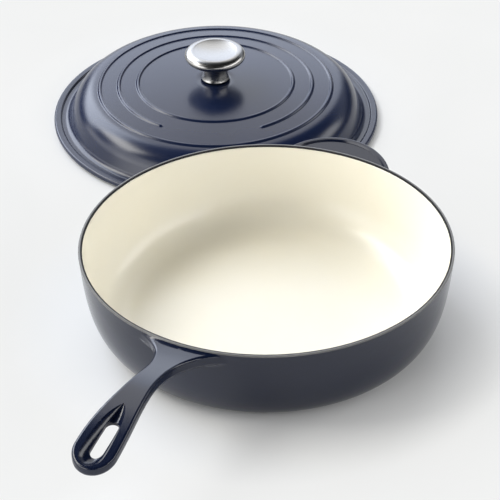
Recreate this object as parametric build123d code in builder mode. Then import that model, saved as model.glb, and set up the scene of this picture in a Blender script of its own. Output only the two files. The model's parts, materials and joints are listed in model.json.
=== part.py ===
from build123d import *
from math import atan2, cos, hypot, radians, sin, sqrt, tan
import os

os.makedirs("parts", exist_ok=True)

# A round braiser in enamelled cast iron: a deep pan with a long handle and a helper handle,
# and a domed lid with a steel knob, taken off and laid on the table behind the pan.
# Millimetres. The origin is on the table under the centre of the pan, +Z is up
# and +X runs along the long handle.

# Pan bowl
rim_radius = 152.5
pan_height = 74.0
rim_width = 3.3
rim_edge = 0.8  # rounding of the bare rim
bare_rim_height = 1.3  # iron left bare above the enamel inside
base_inset = 34.5  # edge of the flat base inside the rim
base_sweep = 30.6  # pull of the outer corner along the table
wall_lean = 3.4  # how far the wall comes in over one wall drop
wall_drop = 30.5
wall_thickness = 4.3
floor_thickness = 5.0
inner_corner_inset = 9.0  # flat floor inside the base edge
enamel_thickness = 0.4

# Long handle, with its lengths measured from the rim
handle_length = 149.0
web_drop = 1.8  # top of the handle's root below the rim
web_thickness = 10.0
web_length = 1.5
root_depth = 1.7  # how deep the handle's root sits in the wall
root_angle = 17.5
root_splay_angle = 4.0
root_fillet = 5.0  # cove between the handle's underside and the wall
flare_length = 4.5
flare_half_width = 21.5
waist_share = 0.285  # narrowest place along the handle
waist_half_width = 9.3
crest_share = 0.453  # highest place along the handle
crest_rise = 7.6  # top of the arched handle above the rim
tip_drop = 8.2
grip_half_width = 17.4
grip_thickness = 9.2
handle_top_round = 2.2
handle_under_round = 3.2

# Hollow round the hanging slot, turned about a line above the grip
scoop_length = 59.5
scoop_tip_margin = 2.0
scoop_depth = 7.4
scoop_axis_near_height = 0.7
scoop_axis_far_height = 8.6
# Shares of the hollow's length and depth, along its floor
scoop_floor_shares = ((0, 0), (0.19, 0.74), (0.52, 1.0), (0.75, 0.88), (0.89, 0.61), (1, 0))

slot_length = 33.0
slot_width = 10.6
slot_tip_margin = 14.2
slot_round = 0.8

# Helper handle, opposite the long one
tab_length = 20.0  # past the rim
tab_arc_radius = 53.0
tab_rise = 2.4  # outer lip above the rim
tab_drop = 2.0
tab_thickness = 8.0
tab_lip_width = 3.4
tab_lip_slope_width = 1.0  # inner side of the lip, down to the field
tab_field_depth = 1.5
tab_round = 1.4
tab_under_round = 2.4

# Lid
lid_overhang = 0.3
lid_gap = 19.8  # clear table between the pan's rim and the lid
lid_bearing_angle = 214.0
lid_crown = 41.5
lid_thickness = 3.8
dome_radius = 820.0
dome_edge_inset = 23.9  # edge of the dome inside the pan's rim
shoulder_round = 23.0
wall_foot_inset = 14.3
valley_height = 5.0
valley_round = 7.0
bead_width = 6.0
bead_height = 6.4
bead_step = 1.5
bead_round = 1.2
bead_foot_round = 1.0
flange_height = 2.4  # underside of the flange above the table
register_clearance = 1.0  # between the lid's register and the pan's mouth
register_width = 4.6
register_edge = 0.6
under_shoulder_round = 19.0
under_foot_round = 8.0

# Raised rings on the lid
outer_ring_inset = 19.9  # from the edge of the dome
ring_pitch = 18.0
ring_width = 3.8
ring_height = 0.9
ring_sink = 1.0
ring_gap_angle = 62.0
ring_gap_bearing_angle = 24.0

# Knob and its fixing, heights above the crown of the lid
gasket_setback = 1.3  # gasket's edge inside the foot of the neck
gasket_thickness = 0.8
foot_radius = 12.9
foot_height = 1.8
neck_waist_radius = 11.7
neck_top_radius = 12.5
neck_waist_share = 0.5  # narrowest place up the neck
neck_bore_clearance = 0.3
knob_radius = 28.3
knob_height = 30.4
knob_head_height = 15.2  # the neck takes the rest
knob_under_rise_angle = 20.0
knob_shoulder_share = 0.55  # upper round's part of the head's edge; the lower round takes the rest
dish_radius = 21.0
dish_depth = 2.6
knob_edge_round = 1.2
knob_wall = 1.4
screw_radius = 3.0
screw_length = 20.0
thread_clearance = 0.05
screw_tip_clearance = 1.0
hole_clearance = 0.5
bush_radius = 6.0
bush_start = 3.5
screw_head_radius = 6.2
screw_head_height = 3.4
screw_head_edge = 1.6
screw_slot_width = 1.4
screw_slot_depth = 1.6
washer_radius = 9.0
washer_thickness = 1.2

# Shared values
cut_overrun = 5.0
mouth_radius = rim_radius - rim_width
base_radius = rim_radius - base_inset
enamel_top = pan_height - bare_rim_height
lid_radius = rim_radius + lid_overhang


def corner(sketch, radius, height):
    """The sketch's vertex nearest to a place in a turned section."""
    return sketch.vertices().sort_by_distance((radius, height))[0]


def bowl_curve(top, turn, foot):
    """Wall from its top to the foot at the floor, pulled towards the point where it turns."""
    lean_point = (top[0] - wall_lean, top[1] - wall_drop)
    return Bezier(top, lean_point, turn, foot)


# Bowl outside, bowl inside and the face of the enamel, as top, turn and foot
outer_bowl = (
    (rim_radius, pan_height),
    (base_radius + base_sweep, 0),
    (base_radius, 0),
)
inner_bowl = (
    (mouth_radius + enamel_thickness, enamel_top),
    (base_radius + base_sweep - wall_thickness, floor_thickness),
    (base_radius - inner_corner_inset, floor_thickness),
)
enamel_floor = floor_thickness + enamel_thickness
enamel_bowl = (
    (mouth_radius, enamel_top),
    (inner_bowl[1][0] - enamel_thickness, enamel_floor),
    (inner_bowl[2][0], enamel_floor),
)

# Long handle: the plan and the side view cut each other
tip_reach = rim_radius + handle_length
web_reach = rim_radius + web_length
flare_reach = rim_radius + flare_length
waist_reach = rim_radius + handle_length * waist_share
crest_reach = rim_radius + handle_length * crest_share
web_top = pan_height - web_drop
crest_top = pan_height + crest_rise
tip_top = pan_height - tip_drop
grip_start = tip_reach - grip_half_width
root_radius = rim_radius - root_depth
root_point = (root_radius * cos(radians(root_angle)), root_radius * sin(radians(root_angle)))
root_direction = radians(root_angle - 90 + root_splay_angle)
tip_slope = (tip_reach - crest_reach, 2 * (tip_top - crest_top))


def bow_height(reach):
    """Top of the handle at a reach past its crest."""
    return crest_top - (crest_top - tip_top) * ((reach - crest_reach) / (tip_reach - crest_reach)) ** 2


scoop_start = tip_reach - scoop_tip_margin - scoop_length
scoop_floor_points = [
    (
        scoop_start + scoop_length * along,
        bow_height(scoop_start + scoop_length * along) - scoop_depth * down,
    )
    for along, down in scoop_floor_shares
]
scoop_near, scoop_far = scoop_floor_points[0], scoop_floor_points[-1]
scoop_axis_near = (scoop_near[0], scoop_near[1] + scoop_axis_near_height)
scoop_axis_far = (scoop_far[0], scoop_far[1] + scoop_axis_far_height)
scoop_axis = Axis(
    (scoop_axis_near[0], 0, scoop_axis_near[1]),
    (scoop_axis_far[0] - scoop_axis_near[0], 0, scoop_axis_far[1] - scoop_axis_near[1]),
)
slot_reach = tip_reach - slot_tip_margin - slot_length / 2


def is_buried(edge):
    """True for the arc at a handle's root, inside the pan's wall."""
    return edge.geom_type == GeomType.CIRCLE and abs(edge.radius - root_radius) < root_depth / 2


def outline_edges(blank, side):
    """Edges where a handle's upright faces meet its top, side 1, or its underside, side -1."""
    walls = blank.faces().filter_by(lambda face: abs(face.normal_at().Z) < 0.01)
    flats = blank.faces().filter_by(lambda face: face.normal_at().Z * side > 0.5)
    shared = walls.edges() & flats.edges()
    return blank.edges().filter_by(lambda edge: edge in shared and not is_buried(edge))


with BuildPart() as long_handle:
    with BuildSketch() as handle_plan:
        with BuildLine():
            flare = Spline(
                root_point,
                (flare_reach, flare_half_width),
                (waist_reach, waist_half_width),
                tangents=[(cos(root_direction), sin(root_direction)), (1, 0)],
            )
            Spline(flare @ 1, (grip_start, grip_half_width), tangents=[(1, 0), (1, 0)])
            CenterArc((grip_start, 0), grip_half_width, 0, 90)
            mirror(about=Plane.XZ)
            RadiusArc((root_point[0], -root_point[1]), root_point, -root_radius)
        make_face()
    extrude(amount=2 * pan_height)
    with BuildSketch(Plane.XZ) as handle_side:
        with BuildLine():
            web = Line((0, web_top), (web_reach, web_top))
            rise = Spline(web @ 1, (crest_reach, crest_top), tangents=[(1, 0), (1, 0)])
            bow = Spline(rise @ 1, (tip_reach, tip_top), tangents=[(1, 0), tip_slope])
            Line(bow @ 1, (tip_reach, tip_top - grip_thickness))
            under_bow = Spline(
                (tip_reach, tip_top - grip_thickness),
                (crest_reach, crest_top - grip_thickness),
                tangents=[(-tip_slope[0], -tip_slope[1]), (-1, 0)],
            )
            under_rise = Spline(
                under_bow @ 1, (web_reach, web_top - web_thickness), tangents=[(-1, 0), (-1, 0)]
            )
            Line(under_rise @ 1, (0, web_top - web_thickness))
            Line((0, web_top - web_thickness), (0, web_top))
        make_face()
    extrude(amount=rim_radius, both=True, mode=Mode.INTERSECT)
    fillet(outline_edges(long_handle, 1), radius=handle_top_round)
    fillet(outline_edges(long_handle, -1), radius=handle_under_round)
    # Spoon-shaped hollow: its long section is turned about a line above the grip
    with BuildSketch(Plane.XZ) as scoop_side:
        with BuildLine():
            Spline(*scoop_floor_points)
            Polyline(scoop_far, scoop_axis_far, scoop_axis_near, scoop_near)
        make_face()
    revolve(axis=scoop_axis, mode=Mode.SUBTRACT)
    # Hanging slot, right through
    with BuildSketch() as slot_plan:
        with Locations((slot_reach, 0)):
            SlotOverall(slot_length, slot_width)
    extrude(amount=2 * pan_height, mode=Mode.SUBTRACT)
    fillet(long_handle.edges(Select.LAST).filter_by(Axis.Z, reverse=True), radius=slot_round)

# Helper handle: a thin disc with a raised lip, tilted up outwards and cut to a crescent by the bowl
tab_reach = rim_radius + tab_length
tab_centre = tab_reach - tab_arc_radius
tab_root_x = (root_radius**2 - tab_arc_radius**2 + tab_centre**2) / (2 * tab_centre)
tab_top = pan_height - tab_drop
tab_slope = atan2(tab_rise + tab_drop, tab_reach - tab_root_x)
tab_centre_height = tab_top - (tab_root_x - tab_centre) * tan(tab_slope)
tab_disc_radius = tab_arc_radius / cos(tab_slope)
tab_field_radius = tab_disc_radius - tab_lip_width
tab_origin = (-tab_centre, 0, tab_centre_height)
tab_outward = (-cos(tab_slope), 0, sin(tab_slope))
tab_axis = Axis(tab_origin, (sin(tab_slope), 0, cos(tab_slope)))

with BuildPart() as helper_handle:
    with BuildSketch(Plane(origin=tab_origin, x_dir=tab_outward, z_dir=(0, 1, 0))) as tab_section:
        with BuildLine():
            Polyline(
                (0, -tab_thickness),
                (tab_disc_radius, -tab_thickness),
                (tab_disc_radius, 0),
                (tab_field_radius, 0),
                (tab_field_radius - tab_lip_slope_width, -tab_field_depth),
                (0, -tab_field_depth),
                close=True,
            )
        make_face()
        fillet(corner(tab_section, tab_disc_radius, 0), radius=tab_round)
        fillet(corner(tab_section, tab_disc_radius, -tab_thickness), radius=tab_under_round)
    revolve(axis=tab_axis)
    with BuildSketch() as bowl_room:
        Circle(root_radius)
    extrude(amount=2 * pan_height, mode=Mode.SUBTRACT)
    split(bisect_by=Plane.YZ, keep=Keep.BOTTOM)


def is_root_edge(edge):
    """True for a low edge where the long handle's sides and underside meet the wall."""
    places = [edge.position_at(share) for share in (0, 0.5, 1)]
    return all(
        place.X > 0
        and abs(place.Y) < place.X * tan(radians(root_angle + root_splay_angle))
        and base_radius + wall_lean < hypot(place.X, place.Y) < rim_radius + root_depth / 2
        and web_top - web_thickness - root_fillet < place.Z
        for place in places
    ) and places[1].Z < web_top - root_depth / 2


# Pan: one casting, with both handles
with BuildPart() as pan_casting:
    with BuildSketch(Plane.XZ) as pan_section:
        with BuildLine():
            outside = bowl_curve(*outer_bowl)
            inside = bowl_curve(*inner_bowl)
            Polyline(outside @ 1, (0, 0), (0, floor_thickness), inside @ 1)
            Polyline(
                inside @ 0, (mouth_radius, enamel_top), (mouth_radius, pan_height), outside @ 0
            )
        make_face()
        fillet(pan_section.vertices().group_by(Axis.Y)[-1], radius=rim_edge)
    revolve(axis=Axis.Z)
    add(long_handle.part)
    add(helper_handle.part)
    fillet(pan_casting.edges().filter_by(is_root_edge), radius=root_fillet)
pan_casting.part.label = "pan_casting"
export_step(pan_casting.part, "parts/pan_casting.step")

# Cream enamel fused to the inside of the bowl
with BuildPart() as pan_enamel:
    with BuildSketch(Plane.XZ) as pan_enamel_section:
        with BuildLine():
            skin = bowl_curve(*enamel_bowl)
            backing = bowl_curve(*inner_bowl)
            Line(skin @ 0, backing @ 0)
            Polyline(skin @ 1, (0, enamel_floor), (0, floor_thickness), backing @ 1)
        make_face()
    revolve(axis=Axis.Z)
pan_enamel.part.label = "pan_enamel"
export_step(pan_enamel.part, "parts/pan_enamel.step")

# Lid, about its own axis
lid_distance = rim_radius + lid_radius + lid_gap
lid_x = lid_distance * cos(radians(lid_bearing_angle))
lid_y = lid_distance * sin(radians(lid_bearing_angle))
lid_axis = Axis((lid_x, lid_y, 0), (0, 0, 1))
lid_base = Plane(origin=(lid_x, lid_y, 0))
lid_plane = Plane(origin=(lid_x, lid_y, 0), x_dir=(1, 0, 0), z_dir=(0, -1, 0))
knob_base = lid_base.offset(lid_crown)
knob_plane = Plane(origin=knob_base.origin, x_dir=(1, 0, 0), z_dir=(0, -1, 0))
screw_hole_radius = screw_radius + hole_clearance
dome_centre = (0, lid_crown - dome_radius)
dome_edge_radius = rim_radius - dome_edge_inset
wall_foot_radius = rim_radius - wall_foot_inset
outer_ring_radius = dome_edge_radius - outer_ring_inset
broken_ring_radius = outer_ring_radius - ring_pitch
inner_ring_radius = broken_ring_radius - ring_pitch
bead_inner_radius = lid_radius - bead_width
register_outer = mouth_radius - register_clearance
register_inner = register_outer - register_width


def dome_height(radius, depth=0):
    """Height of the dome at a radius from its axis, at a depth under its top face."""
    return dome_centre[1] + sqrt((dome_radius - depth) ** 2 - radius**2)


wall_slope = (wall_foot_radius - dome_edge_radius) / (dome_height(dome_edge_radius) - valley_height)


def wall_radius(height, depth):
    """Radius of the steep wall at a height, at a depth under its outer face."""
    return wall_foot_radius - (height - valley_height) * wall_slope - depth * sqrt(1 + wall_slope**2)


def hollow_section(depth, shoulder, foot):
    """Section of the space under the lid, down from a depth under its top faces."""
    low = valley_height - depth
    edge_radius = dome_edge_radius - depth
    with BuildSketch() as hollow:
        with BuildLine():
            Polyline(
                (0, -cut_overrun),
                (register_inner, -cut_overrun),
                (register_inner, low),
                (wall_radius(low, depth), low),
                (wall_radius(lid_crown, depth), lid_crown),
                (0, lid_crown),
                close=True,
            )
        make_face()
        with Locations(dome_centre):
            Circle(dome_radius - depth, mode=Mode.INTERSECT)
        fillet(corner(hollow, edge_radius, dome_height(edge_radius, depth)), radius=shoulder)
        fillet(corner(hollow, wall_radius(low, depth), low), radius=foot)
    return hollow.sketch


lid_hollow = hollow_section(lid_thickness, under_shoulder_round, under_foot_round)
lid_room = hollow_section(
    lid_thickness + enamel_thickness,
    under_shoulder_round - enamel_thickness,
    under_foot_round + enamel_thickness,
)


def turned_plane(angle):
    """Upright plane through the lid's axis, with its sketch X at a bearing."""
    turn = radians(angle)
    return Plane(
        origin=(lid_x, lid_y, 0), x_dir=(cos(turn), sin(turn), 0), z_dir=(sin(turn), -cos(turn), 0)
    )


with BuildPart() as lid_casting:
    with BuildSketch(lid_plane) as lid_section:
        with BuildLine():
            Polyline(
                (0, 0),
                (register_outer, 0),
                (register_outer, flange_height),
                (lid_radius, flange_height),
                (lid_radius, bead_height),
                (bead_inner_radius, bead_height),
                (bead_inner_radius - bead_step, valley_height),
                (wall_foot_radius, valley_height),
                (wall_radius(lid_crown, 0), lid_crown),
                (0, lid_crown),
                close=True,
            )
        make_face()
        with Locations(dome_centre):
            Circle(dome_radius, mode=Mode.INTERSECT)
        add(lid_hollow, mode=Mode.SUBTRACT)
        shoulder = corner(lid_section, dome_edge_radius, dome_height(dome_edge_radius))
        fillet(shoulder, radius=shoulder_round)
        fillet(corner(lid_section, wall_foot_radius, valley_height), radius=valley_round)
        fillet(corner(lid_section, lid_radius, bead_height), radius=bead_round)
        fillet(corner(lid_section, bead_inner_radius, bead_height), radius=bead_foot_round)
        chamfer(corner(lid_section, register_outer, 0), length=register_edge)
        chamfer(corner(lid_section, register_inner, 0), length=register_edge)
    revolve(axis=lid_axis)
    # Three raised rings, the middle one broken in front
    for ring_radius, ring_start, ring_turn in (
        (inner_ring_radius, 0, 360),
        (broken_ring_radius, ring_gap_bearing_angle + ring_gap_angle / 2, 360 - ring_gap_angle),
        (outer_ring_radius, 0, 360),
    ):
        ring_in = ring_radius - ring_width / 2
        ring_out = ring_radius + ring_width / 2
        with BuildSketch(turned_plane(ring_start)) as ring_section:
            with BuildLine():
                crest = ThreePointArc(
                    (ring_in, dome_height(ring_in)),
                    (ring_radius, dome_height(ring_radius) + ring_height),
                    (ring_out, dome_height(ring_out)),
                )
                Polyline(
                    crest @ 1,
                    (ring_out, dome_height(ring_out) - ring_sink),
                    (ring_in, dome_height(ring_in) - ring_sink),
                    crest @ 0,
                )
            make_face()
        revolve(axis=lid_axis, revolution_arc=ring_turn)
    with BuildSketch(lid_base) as screw_hole:
        Circle(screw_hole_radius)
    extrude(amount=lid_crown + cut_overrun, mode=Mode.SUBTRACT)
lid_casting.part.label = "lid_casting"
export_step(lid_casting.part, "parts/lid_casting.step")

# Enamel fused to the underside of the lid, inside its register
with BuildPart() as lid_enamel:
    with BuildSketch(lid_plane) as lid_enamel_section:
        add(lid_hollow)
        add(lid_room, mode=Mode.SUBTRACT)
    revolve(axis=lid_axis)
    with BuildSketch(lid_base) as enamel_hole:
        Circle(screw_hole_radius)
    extrude(amount=lid_crown + cut_overrun, mode=Mode.SUBTRACT)
lid_enamel.part.label = "lid_enamel"
export_step(lid_enamel.part, "parts/lid_enamel.step")

# Gasket between the knob's neck and the lid
with BuildPart() as knob_gasket:
    with BuildSketch(knob_base) as gasket_ring:
        Circle(foot_radius - gasket_setback)
        Circle(screw_hole_radius, mode=Mode.SUBTRACT)
    extrude(amount=gasket_thickness)
knob_gasket.part.label = "knob_gasket"
export_step(knob_gasket.part, "parts/knob_gasket.step")

# Neck: a waisted sleeve that stands on the gasket
neck_height = knob_height - knob_head_height
neck_waist_height = neck_height * neck_waist_share
neck_bore = bush_radius + neck_bore_clearance
with BuildPart() as knob_neck:
    with BuildSketch(knob_plane) as neck_section:
        with BuildLine():
            waist = Spline(
                (foot_radius, foot_height),
                (neck_waist_radius, neck_waist_height),
                (neck_top_radius, neck_height),
            )
            Polyline(
                waist @ 1,
                (neck_bore, neck_height),
                (neck_bore, gasket_thickness),
                (foot_radius, gasket_thickness),
                waist @ 0,
            )
        make_face()
    revolve(axis=lid_axis)
knob_neck.part.label = "knob_neck"
export_step(knob_neck.part, "parts/knob_neck.step")

# Head: a hollow shell with a dished top, open where it stands on the neck
dish_bottom = knob_height - dish_depth
dish_curve_radius = (dish_radius**2 + dish_depth**2) / (2 * dish_depth)
knob_under_edge = neck_height + (knob_radius - neck_top_radius) * tan(radians(knob_under_rise_angle))
knob_edge_height = knob_height - knob_under_edge
knob_shoulder_round = knob_edge_height * knob_shoulder_share
knob_under_round = (knob_edge_height - knob_shoulder_round) / tan(radians((90 - knob_under_rise_angle) / 2))
with BuildPart() as knob_head:
    with BuildSketch(knob_plane) as head_section:
        with BuildLine():
            dish = RadiusArc((0, dish_bottom), (dish_radius, knob_height), -dish_curve_radius)
            Polyline(
                dish @ 1,
                (knob_radius, knob_height),
                (knob_radius, knob_under_edge),
                (neck_top_radius, neck_height),
                (0, neck_height),
                dish @ 0,
            )
        make_face()
        fillet(corner(head_section, dish_radius, knob_height), radius=knob_edge_round)
        fillet(corner(head_section, knob_radius, knob_height), radius=knob_shoulder_round)
        fillet(corner(head_section, knob_radius, knob_under_edge), radius=knob_under_round)
    revolve(axis=lid_axis)
    offset(amount=-knob_wall, openings=knob_head.faces().sort_by(Axis.Z)[0])
knob_head.part.label = "knob_head"
export_step(knob_head.part, "parts/knob_head.step")

# Threaded bush under the dish, which the screw pulls down
under_seat = dome_height(washer_radius, lid_thickness + enamel_thickness)
screw_seat = under_seat - washer_thickness
screw_tip = screw_seat + screw_length
bush_bottom = lid_crown + bush_start
bush_top = lid_crown + dish_bottom - knob_wall
with BuildPart() as knob_bush:
    with BuildSketch(lid_base.offset(bush_bottom)) as bush_outline:
        Circle(bush_radius)
    extrude(amount=bush_top - bush_bottom)
    with BuildSketch(lid_base.offset(bush_bottom)) as bush_bore:
        Circle(screw_radius + thread_clearance)
    extrude(amount=screw_tip + screw_tip_clearance - bush_bottom, mode=Mode.SUBTRACT)
knob_bush.part.label = "knob_bush"
export_step(knob_bush.part, "parts/knob_bush.step")

# Washer and slotted screw, from inside the lid
with BuildPart() as knob_washer:
    with BuildSketch(lid_base.offset(screw_seat)) as washer_ring:
        Circle(washer_radius)
        Circle(screw_hole_radius, mode=Mode.SUBTRACT)
    extrude(amount=washer_thickness)
knob_washer.part.label = "knob_washer"
export_step(knob_washer.part, "parts/knob_washer.step")

with BuildPart() as knob_screw:
    with BuildSketch(lid_base.offset(screw_seat)) as screw_shank:
        Circle(screw_radius)
    extrude(amount=screw_length)
    with BuildSketch(lid_base.offset(screw_seat - screw_head_height)) as screw_head:
        Circle(screw_head_radius)
    extrude(amount=screw_head_height)
    chamfer(knob_screw.edges().sort_by(Axis.Z)[0], length=screw_head_edge)
    with BuildSketch(lid_base.offset(screw_seat - screw_head_height)) as driver_slot:
        Rectangle(2 * screw_head_radius + cut_overrun, screw_slot_width)
    extrude(amount=screw_slot_depth, mode=Mode.SUBTRACT)
knob_screw.part.label = "knob_screw"
export_step(knob_screw.part, "parts/knob_screw.step")
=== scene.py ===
import json
import math

import bmesh
import bpy
from mathutils import Matrix, Vector


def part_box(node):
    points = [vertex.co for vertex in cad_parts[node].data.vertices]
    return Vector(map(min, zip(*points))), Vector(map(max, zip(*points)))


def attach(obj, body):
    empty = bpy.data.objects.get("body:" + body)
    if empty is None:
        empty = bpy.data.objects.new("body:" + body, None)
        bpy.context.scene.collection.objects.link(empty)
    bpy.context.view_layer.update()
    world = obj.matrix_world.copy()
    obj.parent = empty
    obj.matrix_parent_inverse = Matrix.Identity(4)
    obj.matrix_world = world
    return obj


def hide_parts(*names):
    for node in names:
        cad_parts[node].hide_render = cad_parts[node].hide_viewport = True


# A round braiser in enamelled cast iron, its lid laid on the table behind it
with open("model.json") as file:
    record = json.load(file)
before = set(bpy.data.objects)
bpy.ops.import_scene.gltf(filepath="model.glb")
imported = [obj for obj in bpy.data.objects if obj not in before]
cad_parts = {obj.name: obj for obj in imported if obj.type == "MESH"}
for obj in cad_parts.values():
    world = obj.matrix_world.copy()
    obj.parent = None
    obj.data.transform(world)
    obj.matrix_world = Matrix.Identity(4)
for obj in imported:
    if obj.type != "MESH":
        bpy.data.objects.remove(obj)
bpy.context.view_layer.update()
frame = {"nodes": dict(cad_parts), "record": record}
nodes = frame["nodes"]
scene = bpy.context.scene
mm = 0.001
print("frame: %d CAD nodes" % len(nodes))


# Outlines are lists of (radius, height) in millimetres, turned about an upright axis
onAxis = 0.01  # mm: points this near the axis share one vertex


def bezierPoints(start, startPull, endPull, end, count):
    # points along one cubic curve, both ends included
    points = []
    for index in range(count + 1):
        t = index / count
        weights = ((1 - t) ** 3, 3 * t * (1 - t) ** 2, 3 * t * t * (1 - t), t**3)
        corners = (start, startPull, endPull, end)
        points.append(tuple(sum(w * p[axis] for w, p in zip(weights, corners)) for axis in (0, 1)))
    return points


def roundedOutline(corners, arcStep=7.5, leastSteps=3):
    # corners are (radius, height, round); each rounded corner becomes an arc, in steps of degrees
    points = []
    count = len(corners)
    for index, (radius, height, cornerRound) in enumerate(corners):
        here = Vector((radius, height))
        if not cornerRound:
            points.append((radius, height))
            continue
        back = (Vector(corners[index - 1][:2]) - here).normalized()
        ahead = (Vector(corners[(index + 1) % count][:2]) - here).normalized()
        turn = math.pi - back.angle(ahead)
        reach = cornerRound * math.tan(turn / 2)
        centre = here + (back + ahead).normalized() * (cornerRound / math.cos(turn / 2))
        spoke = here + back * reach - centre
        side = 1 if spoke.x * ahead.y - spoke.y * ahead.x > 0 else -1
        steps = max(leastSteps, math.ceil(math.degrees(turn) / arcStep))
        for step in range(steps + 1):
            swing = side * turn * step / steps
            x = spoke.x * math.cos(swing) - spoke.y * math.sin(swing)
            y = spoke.x * math.sin(swing) + spoke.y * math.cos(swing)
            points.append((centre.x + x, centre.y + y))
    return points


def insetOutline(points, depth):
    # the same curve moved to its right by a depth
    moved = []
    for index, point in enumerate(points):
        before = points[max(index - 1, 0)]
        after = points[min(index + 1, len(points) - 1)]
        run = (Vector(after) - Vector(before)).normalized()
        moved.append((max(point[0] + run.y * depth, 0), point[1] - run.x * depth))
    return moved


def turnedPiece(name, axis, outline, steps, lift=None):
    # a closed outline turned about the axis; lift adds a height at a radius and angle
    vertices = []
    rings = []
    for radius, height in outline:
        if radius < onAxis:
            rings.append([len(vertices)] * steps)
            vertices.append((axis[0], axis[1], height * mm))
            continue
        rings.append(list(range(len(vertices), len(vertices) + steps)))
        for step in range(steps):
            angle = 2 * math.pi * step / steps
            rise = lift(radius, height, angle) if lift else 0
            x = axis[0] + radius * mm * math.cos(angle)
            y = axis[1] + radius * mm * math.sin(angle)
            vertices.append((x, y, (height + rise) * mm))
    faces = []
    for ring, nextRing in zip(rings, rings[1:] + rings[:1]):
        for step in range(steps):
            after = (step + 1) % steps
            corners = dict.fromkeys((ring[step], ring[after], nextRing[after], nextRing[step]))
            if len(corners) > 2:
                faces.append(list(corners))
    mesh = bpy.data.meshes.new(name)
    mesh.from_pydata(vertices, [], faces)
    shell = bmesh.new()
    shell.from_mesh(mesh)
    bmesh.ops.recalc_face_normals(shell, faces=shell.faces)
    shell.to_mesh(mesh)
    shell.free()
    mesh.shade_smooth()
    piece = bpy.data.objects.new(name, mesh)
    scene.collection.objects.link(piece)
    return piece


# Materials: colours are sRGB hex, pattern sizes and heights are in millimetres
# a Mix node's sockets go by number, because their names repeat for each kind of data
numberA, numberB, numberOut = 2, 3, 0
colourA, colourB, colourOut = 6, 7, 2


def linearColour(hexColour):
    # sRGB hex to the linear colour that a socket takes
    channels = [int(hexColour[start : start + 2], 16) / 255 for start in (1, 3, 5)]
    return [c / 12.92 if c <= 0.04045 else ((c + 0.055) / 1.055) ** 2.4 for c in channels] + [1.0]


def patternScale(sizeInMm):
    # texture scale for a pattern of a real size, on coordinates in metres
    return 1 / (sizeInMm * mm)


def newMaterial(name):
    material = bpy.data.materials.new(name)
    material.use_nodes = True
    return material, material.node_tree.nodes["Principled BSDF"]


def addNode(tree, kind, inputs=None, **settings):
    # one node with its settings; an input is a value, or the socket that feeds it
    node = tree.nodes.new("ShaderNode" + kind)
    for setting, value in settings.items():
        setattr(node, setting, value)
    for key, value in (inputs or {}).items():
        if isinstance(value, bpy.types.NodeSocket):
            tree.links.new(value, node.inputs[key])
        else:
            node.inputs[key].default_value = value
    return node


def radiusAndHeight(tree, place):
    # how far each point lies from the upright axis, and how high
    axes = addNode(tree, "SeparateXYZ", {"Vector": place}).outputs
    flat = addNode(tree, "CombineXYZ", {"X": axes["X"], "Y": axes["Y"]})
    radius = addNode(tree, "VectorMath", {0: flat.outputs["Vector"]}, operation="LENGTH")
    return radius.outputs["Value"], axes["Z"]


glazeDetail = {"pool": 4, "cast": 2, "peel": 1}  # octaves of noise in each pattern of the glaze
navyEnamel = {
    "colour": "#141e38",
    "poolColour": "#182340",  # where the glaze is thicker
    "poolSize": 45,
    "peelSize": 1.8,
    "peelHeight": 0.006,
    "castSize": 16,
    "castHeight": 0.05,
    "roughness": (0.2, 0.26),
    "ior": 1.5,
}
# the pan's coat is glossier than the lid's, and its colour a little darker as painted shade
paintedShadePanCoat = {**navyEnamel, "colour": "#0e1528", "poolColour": "#121a30", "roughness": (0.13, 0.19)}
creamEnamel = {
    "colour": "#f6f0dd",
    "poolColour": "#f8f4e6",
    "poolSize": 60,
    "peelSize": 3,
    "peelHeight": 0.006,
    "castSize": 22,
    "castHeight": 0.04,
    "roughness": (0.2, 0.26),
    "ior": 1.5,
}
bareIron = {
    "colour": "#6c6b69",
    "roughness": 0.3,
    "innerShadeColour": "#161515",  # painted shade: a dark line along the ground edge beside the cream enamel
    "innerRoughness": 0.85,
    "innerEdge": 150.7,  # radius where the dark edge ends
    "rimOutside": 152.7,
    "rimLine": 73.0,  # height above the table where the pan's enamel stops
    "lineWidth": 0.25,
}


def withGroundRim(tree, place, spec, glazeColour, glazeRough):
    # the top of the rim is ground and left bare: grey iron, dull sheen, painted shade along the inner edge
    radius, height = radiusAndHeight(tree, place)
    past = {}
    for edge, value in (("rimLine", height), ("innerEdge", radius)):
        low, high = spec[edge] - spec["lineWidth"], spec[edge] + spec["lineWidth"]
        step = addNode(tree, "MapRange", {"Value": value, "From Min": low * mm, "From Max": high * mm})
        past[edge] = step.outputs["Result"]
    within = addNode(tree, "Math", {0: radius, 1: spec["rimOutside"] * mm}, operation="LESS_THAN")
    bare = addNode(tree, "Math", {0: past["rimLine"], 1: within.outputs[0]}, operation="MULTIPLY")
    # painted shade: the bare iron turns near-black along the inner edge of the rim
    ironAndShadeColour = addNode(
        tree,
        "Mix",
        {
            "Factor": past["innerEdge"],
            colourA: linearColour(spec["innerShadeColour"]),
            colourB: linearColour(spec["colour"]),
        },
        data_type="RGBA",
    )
    ironRough = addNode(
        tree,
        "MapRange",
        {"Value": past["innerEdge"], "To Min": spec["innerRoughness"], "To Max": spec["roughness"]},
    )
    colour = addNode(
        tree,
        "Mix",
        {"Factor": bare.outputs[0], colourA: glazeColour, colourB: ironAndShadeColour.outputs[colourOut]},
        data_type="RGBA",
    )
    rough = addNode(
        tree,
        "Mix",
        {"Factor": bare.outputs[0], numberA: glazeRough, numberB: ironRough.outputs["Result"]},
        data_type="FLOAT",
    )
    return colour.outputs[colourOut], rough.outputs[numberOut]


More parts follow.
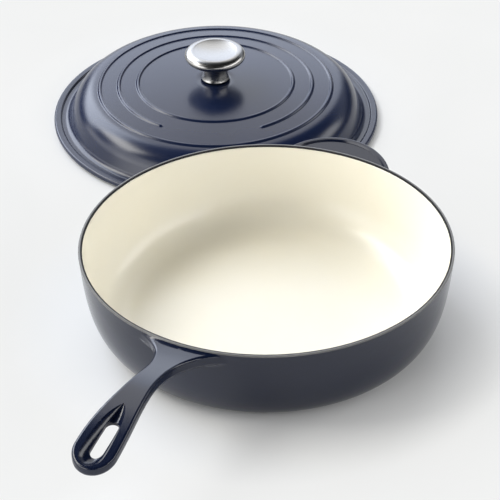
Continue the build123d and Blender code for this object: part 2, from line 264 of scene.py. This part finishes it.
def satinVitreousEnamelOnSandCastIron(name, spec, bareRim=None):
    # powdered glass, sprayed and fired to a satin: deep colour under a broad soft gloss,
    # with an orange-peel skin and the slow waves of the sand casting below it
    material, shader = newMaterial(name)
    tree = material.node_tree
    place = addNode(tree, "TexCoord").outputs["Object"]
    noise = {}
    for pattern, detail in glazeDetail.items():
        scale = patternScale(spec[pattern + "Size"])
        texture = addNode(tree, "TexNoise", {"Vector": place, "Scale": scale, "Detail": detail})
        noise[pattern] = texture.outputs["Fac"]
    glaze = addNode(
        tree,
        "Mix",
        {
            "Factor": noise["pool"],
            colourA: linearColour(spec["colour"]),
            colourB: linearColour(spec["poolColour"]),
        },
        data_type="RGBA",
    )
    gloss = addNode(
        tree,
        "MapRange",
        {"Value": noise["pool"], "To Min": spec["roughness"][0], "To Max": spec["roughness"][1]},
    )
    castBump = addNode(tree, "Bump", {"Height": noise["cast"], "Distance": spec["castHeight"] * mm})
    peelBump = addNode(
        tree,
        "Bump",
        {
            "Height": noise["peel"],
            "Distance": spec["peelHeight"] * mm,
            "Normal": castBump.outputs["Normal"],
        },
    )
    colour, rough = glaze.outputs[colourOut], gloss.outputs["Result"]
    if bareRim:
        colour, rough = withGroundRim(tree, place, bareRim, colour, rough)
    tree.links.new(colour, shader.inputs["Base Color"])
    tree.links.new(rough, shader.inputs["Roughness"])
    tree.links.new(peelBump.outputs["Normal"], shader.inputs["Normal"])
    shader.inputs["IOR"].default_value = spec["ior"]
    return material


steelFinish = {
    "colour": "#a3a2a0",
    "roughness": (0.22, 0.32),
    "lineSize": 0.35,  # lathe lines, drawn coarser than they are so that they show
    "lineHeight": 0.0012,
}
fixingFinish = {**steelFinish, "colour": "#b4b4b4", "roughness": (0.3, 0.42)}


def lathePolishedStainless(name, spec, axis):
    # 18/10 stainless, spun and polished with fine paper: bright, with fine rings in its gloss
    material, shader = newMaterial(name)
    tree = material.node_tree
    place = addNode(tree, "TexCoord").outputs["Object"]
    fromAxis = addNode(tree, "VectorMath", {0: place, 1: (axis[0], axis[1], 0)}, operation="SUBTRACT")
    radius, height = radiusAndHeight(tree, fromAxis.outputs["Vector"])
    along = addNode(tree, "CombineXYZ", {"X": radius, "Y": height})
    lines = addNode(
        tree, "TexNoise", {"Vector": along.outputs["Vector"], "Scale": patternScale(spec["lineSize"])}
    )
    rough = addNode(
        tree,
        "MapRange",
        {"Value": lines.outputs["Fac"], "To Min": spec["roughness"][0], "To Max": spec["roughness"][1]},
    )
    bump = addNode(tree, "Bump", {"Height": lines.outputs["Fac"], "Distance": spec["lineHeight"] * mm})
    tree.links.new(bump.outputs["Normal"], shader.inputs["Normal"])
    tree.links.new(rough.outputs["Result"], shader.inputs["Roughness"])
    shader.inputs["Base Color"].default_value = linearColour(spec["colour"])
    shader.inputs["Metallic"].default_value = 1
    return material


gasketFinish = {
    "colour": "#141416",
    "bloomSize": 1.5,
    "roughness": (0.5, 0.7),
    "ior": 1.43,
}


def mouldedSilicone(name, spec):
    # moulded black silicone: matt, with a faint bloom
    material, shader = newMaterial(name)
    tree = material.node_tree
    place = addNode(tree, "TexCoord").outputs["Object"]
    bloom = addNode(tree, "TexNoise", {"Vector": place, "Scale": patternScale(spec["bloomSize"])})
    rough = addNode(
        tree,
        "MapRange",
        {"Value": bloom.outputs["Fac"], "To Min": spec["roughness"][0], "To Max": spec["roughness"][1]},
    )
    tree.links.new(rough.outputs["Result"], shader.inputs["Roughness"])
    shader.inputs["Base Color"].default_value = linearColour(spec["colour"])
    shader.inputs["IOR"].default_value = spec["ior"]
    return material


lidLow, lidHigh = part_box("lid_casting")
lidAxis = ((lidLow[0] + lidHigh[0]) / 2, (lidLow[1] + lidHigh[1]) / 2)

# the lid's enamel, glossier and darkened as painted shade, with the bare ground rim
panNavy = satinVitreousEnamelOnSandCastIron("shadedPanNavyEnamel", paintedShadePanCoat, bareIron)
lidNavy = satinVitreousEnamelOnSandCastIron("lidNavyEnamel", navyEnamel)
cream = satinVitreousEnamelOnSandCastIron("creamEnamel", creamEnamel)
knobSteel = lathePolishedStainless("lathePolishedStainless", steelFinish, lidAxis)

slotMaterials = {
    "enamelled_iron": panNavy,
    "cream_enamel": cream,
    "knob_steel": knobSteel,
    "plain_steel": lathePolishedStainless("machinedStainless", fixingFinish, lidAxis),
    "gasket_rubber": mouldedSilicone("mouldedSilicone", gasketFinish),
}
for row in frame["record"]["subparts"]:
    node = nodes[row["node"]]
    node.data.materials.clear()
    node.data.materials.append(slotMaterials[row["material_slot"]])
print("materials: %d slots" % len(slotMaterials))


# Lid: one turned shell, with its rings raised out of the dome. Millimetres; a corner is
# (radius, height, round)
lidShape = {
    "crown": 41.5,
    "holeRadius": 3.5,
    "innerRadii": (20, 40, 60),  # where the dome inside the rings is divided
    "domeRadius": 820,
    "domeEdge": 112.5,
    "shoulder": (128.6, 31.4, 25),
    "wallFoot": (138.2, 5.0, 7),
    "valleyEdge": (145.3, 5.0, 1.2),
    "beadInner": (146.8, 6.5, 1.4),
    "beadOuter": (152.8, 6.5, 1.9),
    "flangeUnder": 2.4,
    "flangeRound": 0.7,
    "registerRadii": (143.6, 148.2),
    "registerRounds": (0.5, 0.6),  # at its root and its tip
    "underFoot": (135.1, 1.2, 8),
    "underShoulder": (125.6, 27.6, 19),
    "underRadii": (110, 95, 80, 65, 50, 35, 20, 5),
    "thickness": 3.8,
    "steps": 480,
}
lidRings = {
    "radii": (72.7, 90.7, 108.7),
    "halfFoot": 2.1,
    "halfTop": 0.5,
    "height": 1.2,
    "straightShare": 0.6,  # of a ridge's side; the rest is an S-curve
    "gapRadius": 90.7,
    "gapAngle": 62,
    "gapBearing": 24,
    "fineStep": 0.4,
    "fineSteps": 15,
    "between": 9,  # from a ring to the one coarse step after it
}
skinMargin = 0.01  # a point this much lower than the dome isn't on its skin


def domeHeight(radius, depth=0):
    sphere = lidShape["domeRadius"] - depth
    return lidShape["crown"] - lidShape["domeRadius"] + math.sqrt(sphere**2 - radius**2)


def ringLift(radius, height, angle):
    # soft-footed ridge; the middle ring stops short of the gap with round ends
    if height < domeHeight(radius) - skinMargin:
        return 0
    rise = 0
    straight = lidRings["straightShare"]
    for ringRadius in lidRings["radii"]:
        distance = abs(radius - ringRadius)
        if ringRadius == lidRings["gapRadius"]:
            fromGap = math.degrees(angle) - lidRings["gapBearing"]
            fromGap = abs((fromGap + 180) % 360 - 180)
            past = math.radians(max(lidRings["gapAngle"] / 2 - fromGap, 0)) * ringRadius
            distance = math.hypot(distance, past)
        share = (lidRings["halfFoot"] - distance) / (lidRings["halfFoot"] - lidRings["halfTop"])
        share = min(max(share, 0), 1)
        soft = share * share * (3 - 2 * share)
        rise = max(rise, lidRings["height"] * (straight * share + (1 - straight) * soft))
    return rise


def domeRadii():
    # fine steps over each ring, coarse ones between
    fine = lidRings["fineStep"]
    radii = [lidShape["holeRadius"], *lidShape["innerRadii"]]
    for ringRadius in lidRings["radii"]:
        start = ringRadius - lidRings["halfFoot"] - fine
        radii += [start + fine * index for index in range(lidRings["fineSteps"])]
        radii.append(ringRadius + lidRings["between"])
    return [radius for radius in radii if radius < lidShape["domeEdge"]]


def lidOutline():
    depth, flange = lidShape["thickness"], lidShape["flangeUnder"]
    inner, outer = lidShape["registerRadii"]
    root, tip = lidShape["registerRounds"]
    top = [(radius, domeHeight(radius), 0) for radius in domeRadii()]
    side = [lidShape[corner] for corner in ("shoulder", "wallFoot", "valleyEdge", "beadInner", "beadOuter")]
    register = [
        (lidShape["beadOuter"][0], flange, lidShape["flangeRound"]),
        (outer, flange, root),
        (outer, 0, tip),
        (inner, 0, tip),
        (inner, lidShape["underFoot"][1], root),
    ]
    under = [lidShape["underFoot"], lidShape["underShoulder"]]
    under += [(radius, domeHeight(radius, depth), 0) for radius in lidShape["underRadii"]]
    hole = [(lidShape["holeRadius"], domeHeight(0, depth), 0)]
    return roundedOutline(top + side + register + under + hole)


lidShell = turnedPiece("lid_shell", lidAxis, lidOutline(), lidShape["steps"], ringLift)
lidShell.data.materials.append(lidNavy)
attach(lidShell, "lid")
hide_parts("lid_casting")
print("lid: %d faces" % len(lidShell.data.polygons))


# Pan lining, with a smooth turned face: one curve from the floor's edge to the rim
liningShape = {
    "top": (149.2, 72.7),
    "wallPull": (145.8, 42.2),
    "cornerPull": (143.9, 5.4),
    "floorEdge": (109.0, 5.4),
    "floorMiddle": 50,  # radius at which the flat floor is divided
    "depth": 0.4,
    "count": 48,
    "steps": 360,
}


def liningOutline():
    floorHeight = liningShape["floorEdge"][1]
    skin = [(0, floorHeight), (liningShape["floorMiddle"], floorHeight)]
    skin += bezierPoints(
        liningShape["floorEdge"],
        liningShape["cornerPull"],
        liningShape["wallPull"],
        liningShape["top"],
        liningShape["count"],
    )
    return skin + insetOutline(skin, liningShape["depth"])[::-1]


panLining = turnedPiece("pan_lining", (0, 0), liningOutline(), liningShape["steps"])
panLining.data.materials.append(cream)
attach(panLining, "pan")
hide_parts("pan_enamel")
print("pan lining: %d faces" % len(panLining.data.polygons))


# Knob: a dished shell on a waisted neck, heights above the crown of the lid. A curve is its
# two pulls and its end, and starts where the one before it stops
knobShape = {
    "dishRadius": 21.0,
    "dishDepth": 2.6,
    "dishEdge": 20.1,  # where the lip takes over from the dish
    "height": 30.4,
    "lip": ((20.7, 30.4), (21.3, 30.45), (22.1, 30.28)),
    "shoulder": ((25.6, 29.65), (28.3, 27.9), (28.3, 25.2)),
    "underside": ((28.3, 20.6), (19.7, 18.8), (12.5, 15.2)),
    "wall": 1.4,
    "foot": ((12.6, 0.8), (12.9, 1.1), (12.9, 1.8)),  # three points of its edge
    "waist": ((11.1, 4.6), (11.5, 9.6), (12.5, 15.2)),
    "bore": 6.3,
    "dishSteps": 23,
    "lipSteps": 8,
    "curveSteps": 24,
    "steps": 256,
}


def raised(points):
    return [(radius, height + lidShape["crown"]) for radius, height in points]


def headOutline():
    radius, depth, top = knobShape["dishRadius"], knobShape["dishDepth"], knobShape["height"]
    sphere = (radius**2 + depth**2) / (2 * depth)
    outside = []
    for index in range(knobShape["dishSteps"] + 1):
        across = knobShape["dishEdge"] * index / knobShape["dishSteps"]
        outside.append((across, top - depth + sphere - math.sqrt(sphere**2 - across**2)))
    for curve, steps in (("lip", "lipSteps"), ("shoulder", "curveSteps"), ("underside", "curveSteps")):
        outside += bezierPoints(outside[-1], *knobShape[curve], knobShape[steps])[1:]
    return raised(outside + insetOutline(outside, knobShape["wall"])[::-1])


def neckOutline():
    foot, waist, bore = knobShape["foot"], knobShape["waist"], knobShape["bore"]
    side = bezierPoints(foot[-1], *waist, knobShape["curveSteps"])
    return raised([(bore, foot[0][1]), *foot[:-1], *side, (bore, waist[-1][1])])


knobHead = turnedPiece("knob_cap", lidAxis, headOutline(), knobShape["steps"])
knobNeck = turnedPiece("knob_stem", lidAxis, neckOutline(), knobShape["steps"])
for piece, node in ((knobHead, "knob_head"), (knobNeck, "knob_neck")):
    piece.data.materials.append(knobSteel)
    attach(piece, "lid")
    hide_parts(node)
print("knob: %d faces" % (len(knobHead.data.polygons) + len(knobNeck.data.polygons)))


# Camera, fitted to the rims in the photograph
viewCamera = {
    "place": (1.3413, 0.6452, 1.0889),  # metres
    "turn": 116.2,  # degrees, from +Y to the way it looks
    "pitch": 34.47,  # degrees down
    "roll": -0.57,
    "lens": 160.1,
    "sensor": 36,
}


def aimed(turn, pitch, roll):
    return (
        Matrix.Rotation(math.radians(turn), 4, "Z")
        @ Matrix.Rotation(math.radians(90 - pitch), 4, "X")
        @ Matrix.Rotation(math.radians(roll), 4, "Z")
    )


cameraData = bpy.data.cameras.new("photoCamera")
cameraData.sensor_width = viewCamera["sensor"]
cameraData.lens = viewCamera["lens"]
camera = bpy.data.objects.new("photoCamera", cameraData)
camera.matrix_world = Matrix.Translation(viewCamera["place"]) @ aimed(
    viewCamera["turn"], viewCamera["pitch"], viewCamera["roll"]
)
scene.collection.objects.link(camera)
scene.camera = camera
print("camera: %.1f mm lens" % cameraData.lens)


# Light: soft-edged windows and cards in the world. The azimuth is in degrees to the right of
# straight away from the camera, low and high are in degrees above the table
softLights = {
    # name: (azimuth, halfWidth, low, high, strength, colour)
    "leftWindow": (-80, 20, 35, 53, 9.1, "#fffdf8"),
    "backLeftWindow": (-40, 20, 17, 53, 6.6, "#eaf1ff"),
    "backWall": (0, 20, 2, 17, 2.2, "#eaf1ff"),
    "backWindow": (0, 20, 17, 35, 2.5, "#eaf1ff"),
    "backWallTop": (0, 20, 35, 53, 1.9, "#ffffff"),
    "backRightWall": (40, 20, 17, 35, 0.5, "#eaf1ff"),
    "rightCard": (80, 20, 17, 35, 3.6, "#ffffff"),
    "rightFrontCard": (120, 20, 17, 35, 4.2, "#ffffff"),
    "frontCard": (160, 20, 2, 17, 2.4, "#ffffff"),
    "leftFrontCard": (-120, 20, 2, 17, 4.0, "#ffffff"),
    "leftFrontWall": (-112, 26, 17, 35, 2.6, "#ffffff"),
    "leftWall": (-80, 20, 2, 17, 2.4, "#ffffff"),
    "ceiling": (0, 180, 72, 96, 1.8, "#ffffff"),
}
windowEdge = 5  # degrees to each side of an edge, over which a window fades out
backdropColour = "#ffffff"  # what the camera sees behind the table

viewFrame = Matrix.Rotation(math.radians(viewCamera["turn"]), 4, "Z")
world = bpy.data.worlds.new("paleStudio")
world.use_nodes = True
scene.world = world
tree = world.node_tree
direction = addNode(tree, "TexCoord").outputs["Generated"]
flat = addNode(tree, "VectorMath", {0: direction, 1: (1, 1, 0)}, operation="MULTIPLY")
level = addNode(tree, "VectorMath", {0: flat.outputs["Vector"]}, operation="NORMALIZE").outputs["Vector"]
height = addNode(tree, "SeparateXYZ", {"Vector": direction}).outputs["Z"]


def windowSide(value, edge, wave):
    # 0 outside an edge and 1 inside it, with a soft step across; wave turns degrees to the value
    ends = sorted(wave(math.radians(edge + reach)) for reach in (-windowEdge, windowEdge))
    side = addNode(
        tree,
        "MapRange",
        {"Value": value, "From Min": ends[0], "From Max": ends[1]},
        interpolation_type="SMOOTHSTEP",
    )
    return side.outputs["Result"]


light = None
for name, (azimuth, halfWidth, low, high, strength, colour) in softLights.items():
    bearing = math.radians(azimuth)
    toward = viewFrame @ Vector((math.sin(bearing), math.cos(bearing), 0))
    facing = addNode(tree, "VectorMath", {0: level, 1: toward}, operation="DOT_PRODUCT")
    across = windowSide(facing.outputs["Value"], halfWidth, math.cos)
    above = windowSide(height, low, math.sin)
    over = windowSide(height, high, math.sin)
    between = addNode(tree, "Math", {0: above, 1: over}, operation="SUBTRACT")
    share = addNode(tree, "Math", {0: between.outputs[0], 1: across}, operation="MULTIPLY")
    glow = addNode(tree, "Math", {0: share.outputs[0], 1: strength}, operation="MULTIPLY", label=name)
    tint = linearColour(colour)[:3]
    glow = addNode(tree, "VectorMath", {0: tint, "Scale": glow.outputs[0]}, operation="SCALE")
    if light:
        glow = addNode(tree, "VectorMath", {0: light, 1: glow.outputs["Vector"]}, operation="ADD")
    light = glow.outputs["Vector"]
rays = addNode(tree, "LightPath")
seen = addNode(
    tree,
    "Mix",
    {"Factor": rays.outputs["Is Camera Ray"], colourA: light, colourB: linearColour(backdropColour)},
    data_type="RGBA",
)
tree.links.new(seen.outputs[colourOut], tree.nodes["Background"].inputs["Color"])


# Floor: a pale honed stone table
floorShape = {
    "half": 6.0,  # metres, from its middle to its edge
    "colour": "#f4f4f3",
    "veinColour": "#ecedec",
    "veinSize": 260,
    "veinDetail": 5,
    "veinWarp": 1.2,
    "roughness": 0.7,
    "specular": 0.2,
    "paleShare": 0.85,  # how much of the stone shows at its own colour, whatever the light
    "contactReach": 75,
    "contactPower": 3.0,
}
half = floorShape["half"]
floorCorners = [(-half, -half, 0), (half, -half, 0), (half, half, 0), (-half, half, 0)]
floorMesh = bpy.data.meshes.new("table_top")
floorMesh.from_pydata(floorCorners, [], [(0, 1, 2, 3)])
floor = bpy.data.objects.new("table_top", floorMesh)
scene.collection.objects.link(floor)


def honedPaleStone(name, spec):
    # honed white stone: matt and even, with faint cloudy veins
    material, shader = newMaterial(name)
    tree = material.node_tree
    place = addNode(tree, "TexCoord").outputs["Object"]
    clouds = addNode(
        tree,
        "TexNoise",
        {
            "Vector": place,
            "Scale": patternScale(spec["veinSize"]),
            "Detail": spec["veinDetail"],
            "Distortion": spec["veinWarp"],
        },
    )
    colour = addNode(
        tree,
        "Mix",
        {
            "Factor": clouds.outputs["Fac"],
            colourA: linearColour(spec["colour"]),
            colourB: linearColour(spec["veinColour"]),
        },
        data_type="RGBA",
    )
    tree.links.new(colour.outputs[colourOut], shader.inputs["Base Color"])
    shader.inputs["Roughness"].default_value = spec["roughness"]
    shader.inputs["Specular IOR Level"].default_value = spec["specular"]
    pale = addNode(tree, "Emission", {"Color": colour.outputs[colourOut], "Strength": 1.0})
    # the pale share is for the camera, and for what metal and glaze reflect
    rays = addNode(tree, "LightPath").outputs
    seen = rays["Is Camera Ray"]
    for ray in ("Is Glossy Ray", "Is Transmission Ray"):
        seen = addNode(tree, "Math", {0: seen, 1: rays[ray]}, operation="MAXIMUM").outputs[0]
    share = addNode(tree, "Math", {0: seen, 1: spec["paleShare"]}, operation="MULTIPLY")
    # close under the pan and the lid it falls, so the contact shadow stays
    near = addNode(tree, "AmbientOcclusion", {"Distance": spec["contactReach"] * mm})
    clear = addNode(tree, "Math", {0: near.outputs["AO"], 1: spec["contactPower"]}, operation="POWER")
    share = addNode(tree, "Math", {0: share.outputs[0], 1: clear.outputs[0]}, operation="MULTIPLY")
    both = addNode(
        tree, "MixShader", {0: share.outputs[0], 1: shader.outputs["BSDF"], 2: pale.outputs["Emission"]}
    )
    tree.links.new(both.outputs["Shader"], tree.nodes["Material Output"].inputs["Surface"])
    return material


floorMesh.materials.append(honedPaleStone("honedPaleStone", floorShape))
scene.view_settings.view_transform = "Standard"
print("light and floor: %d soft lights" % len(softLights))
